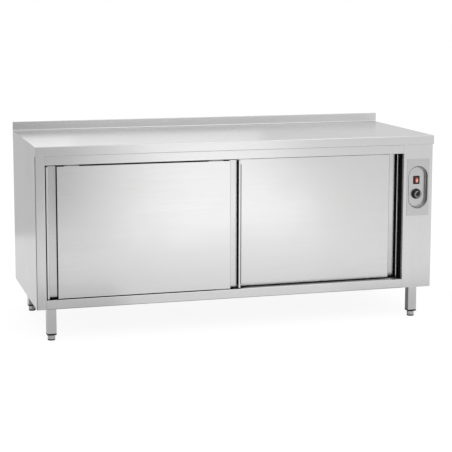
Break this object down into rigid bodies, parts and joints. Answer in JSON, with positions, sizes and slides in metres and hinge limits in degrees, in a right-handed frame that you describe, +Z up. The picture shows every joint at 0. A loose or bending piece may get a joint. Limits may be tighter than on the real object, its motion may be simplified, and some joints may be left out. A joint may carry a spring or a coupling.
{
  "type": "plate warmer cabinet",
  "caption": "Free-standing stainless plate warmer with worktop and low rear upstand, sliding doors, recessed controls and square legs on levelling feet.",
  "frame": {"origin": "on the floor at the middle of the footprint, which is the bottom centre of the bounding box", "axes": "+X across to the control bay, +Y from the doors to the back, +Z up"},
  "size_m": [1.8, 0.7, 0.872],
  "materials": {
    "brushed_steel": "fine brushed stainless steel",
    "dull_steel": "dull zinc or mill finish",
    "aluminium": "extruded, natural",
    "wool": "mineral wool board",
    "nylon": "moulded nylon",
    "black_plastic": "moulded black plastic",
    "lens": "lit translucent lens",
    "element": "heat-tinted tube",
    "copper": "drawn copper tube",
    "terminal": "moulded ceramic-white block"
  },
  "bodies": {
    "cabinet": {"worktop": "brushed_steel", "worktop_channels": "dull_steel", "left_side_panel": "brushed_steel", "right_side_panel": "brushed_steel", "left_stile": "brushed_steel", "front_header": "brushed_steel", "bottom_rail": "brushed_steel", "control_fascia": "brushed_steel", "back_panel": "brushed_steel", "base_tray": "brushed_steel", "left_liner": "brushed_steel", "bay_partition": "brushed_steel", "back_liner": "brushed_steel", "chamber_floor": "brushed_steel", "chamber_ceiling": "brushed_steel", "side_insulation": "wool", "back_insulation": "wool", "top_insulation": "wool", "base_insulation": "wool", "door_track": "aluminium", "door_guides": "nylon", "shelf_uprights": "dull_steel", "shelf_brackets": "dull_steel", "shelf": "brushed_steel", "air_baffle": "brushed_steel", "ring_heater": "element", "fan_motor": "dull_steel", "control_plate": "brushed_steel", "switch_housing": "black_plastic", "thermostat_body": "dull_steel", "thermostat_sensor": "copper", "terminal_block": "terminal", "cable_gland": "black_plastic", "back_screws": "dull_steel", "leg_front_left": "brushed_steel", "leg_front_right": "brushed_steel", "leg_rear_left": "brushed_steel", "leg_rear_right": "brushed_steel", "leg_plugs": "black_plastic", "leg_bolts": "dull_steel"},
    "left_door": {"left_door_front": "brushed_steel", "left_door_back": "brushed_steel", "left_door_insulation": "wool", "left_door_hangers": "dull_steel"},
    "right_door": {"right_door_front": "brushed_steel", "right_door_back": "brushed_steel", "right_door_insulation": "wool", "right_door_hangers": "dull_steel"},
    "left_roller_outer": {"left_door_roller_outer": "nylon"},
    "left_roller_inner": {"left_door_roller_inner": "nylon"},
    "right_roller_inner": {"right_door_roller_inner": "nylon"},
    "right_roller_outer": {"right_door_roller_outer": "nylon"},
    "fan": {"fan_wheel": "aluminium"},
    "knob": {"thermostat_knob": "black_plastic"},
    "rocker": {"switch_rocker": "black_plastic", "switch_lens": "lens"},
    "levelling_foot_front_left": {"foot_front_left": "dull_steel"},
    "levelling_foot_front_right": {"foot_front_right": "dull_steel"},
    "levelling_foot_rear_left": {"foot_rear_left": "dull_steel"},
    "levelling_foot_rear_right": {"foot_rear_right": "dull_steel"}
  },
  "joints": [
    {"name": "left_door_slide", "type": "slide", "parent": "cabinet", "child": "left_door", "axis": [1, 0, 0], "range_m": [0, 0.755]},
    {"name": "right_door_slide", "type": "slide", "parent": "cabinet", "child": "right_door", "axis": [-1, 0, 0], "range_m": [0, 0.755]},
    {"name": "left_outer_roller_turn", "type": "hinge", "parent": "left_door", "child": "left_roller_outer", "pos_m": [-0.7435, -0.3165, 0.7653], "axis": [0, 1, 0], "range_deg": [0, 3940]},
    {"name": "left_inner_roller_turn", "type": "hinge", "parent": "left_door", "child": "left_roller_inner", "pos_m": [-0.1135, -0.3165, 0.7653], "axis": [0, 1, 0], "range_deg": [0, 3940]},
    {"name": "right_inner_roller_turn", "type": "hinge", "parent": "right_door", "child": "right_roller_inner", "pos_m": [0.0155, -0.2765, 0.7653], "axis": [0, -1, 0], "range_deg": [0, 3940]},
    {"name": "right_outer_roller_turn", "type": "hinge", "parent": "right_door", "child": "right_roller_outer", "pos_m": [0.6455, -0.2765, 0.7653], "axis": [0, -1, 0], "range_deg": [0, 3940]},
    {"name": "fan_spin", "type": "hinge", "parent": "cabinet", "child": "fan", "pos_m": [0.7, 0.029, 0.463], "axis": [1, 0, 0], "continuous": true},
    {"name": "thermostat_turn", "type": "hinge", "parent": "cabinet", "child": "knob", "pos_m": [0.83, -0.3212, 0.563], "axis": [0, 1, 0], "range_deg": [0, 270]},
    {"name": "switch_rock", "type": "hinge", "parent": "cabinet", "child": "rocker", "pos_m": [0.83, -0.3182, 0.626], "axis": [0, 0, 1], "range_deg": [0, 18]},
    {"name": "foot_front_left_adjust", "type": "slide", "parent": "cabinet", "child": "levelling_foot_front_left", "axis": [0, 0, -1], "range_m": [0, 0.02]},
    {"name": "foot_front_right_adjust", "type": "slide", "parent": "cabinet", "child": "levelling_foot_front_right", "axis": [0, 0, -1], "range_m": [0, 0.02]},
    {"name": "foot_rear_left_adjust", "type": "slide", "parent": "cabinet", "child": "levelling_foot_rear_left", "axis": [0, 0, -1], "range_m": [0, 0.02]},
    {"name": "foot_rear_right_adjust", "type": "slide", "parent": "cabinet", "child": "levelling_foot_rear_right", "axis": [0, 0, -1], "range_m": [0, 0.02]}
  ],
  "couplings": [
    {"joint": "left_outer_roller_turn", "follows": "left_door_slide", "rad_per_m": 90.909},
    {"joint": "left_inner_roller_turn", "follows": "left_door_slide", "rad_per_m": 90.909},
    {"joint": "right_inner_roller_turn", "follows": "right_door_slide", "rad_per_m": 90.909},
    {"joint": "right_outer_roller_turn", "follows": "right_door_slide", "rad_per_m": 90.909}
  ]
}
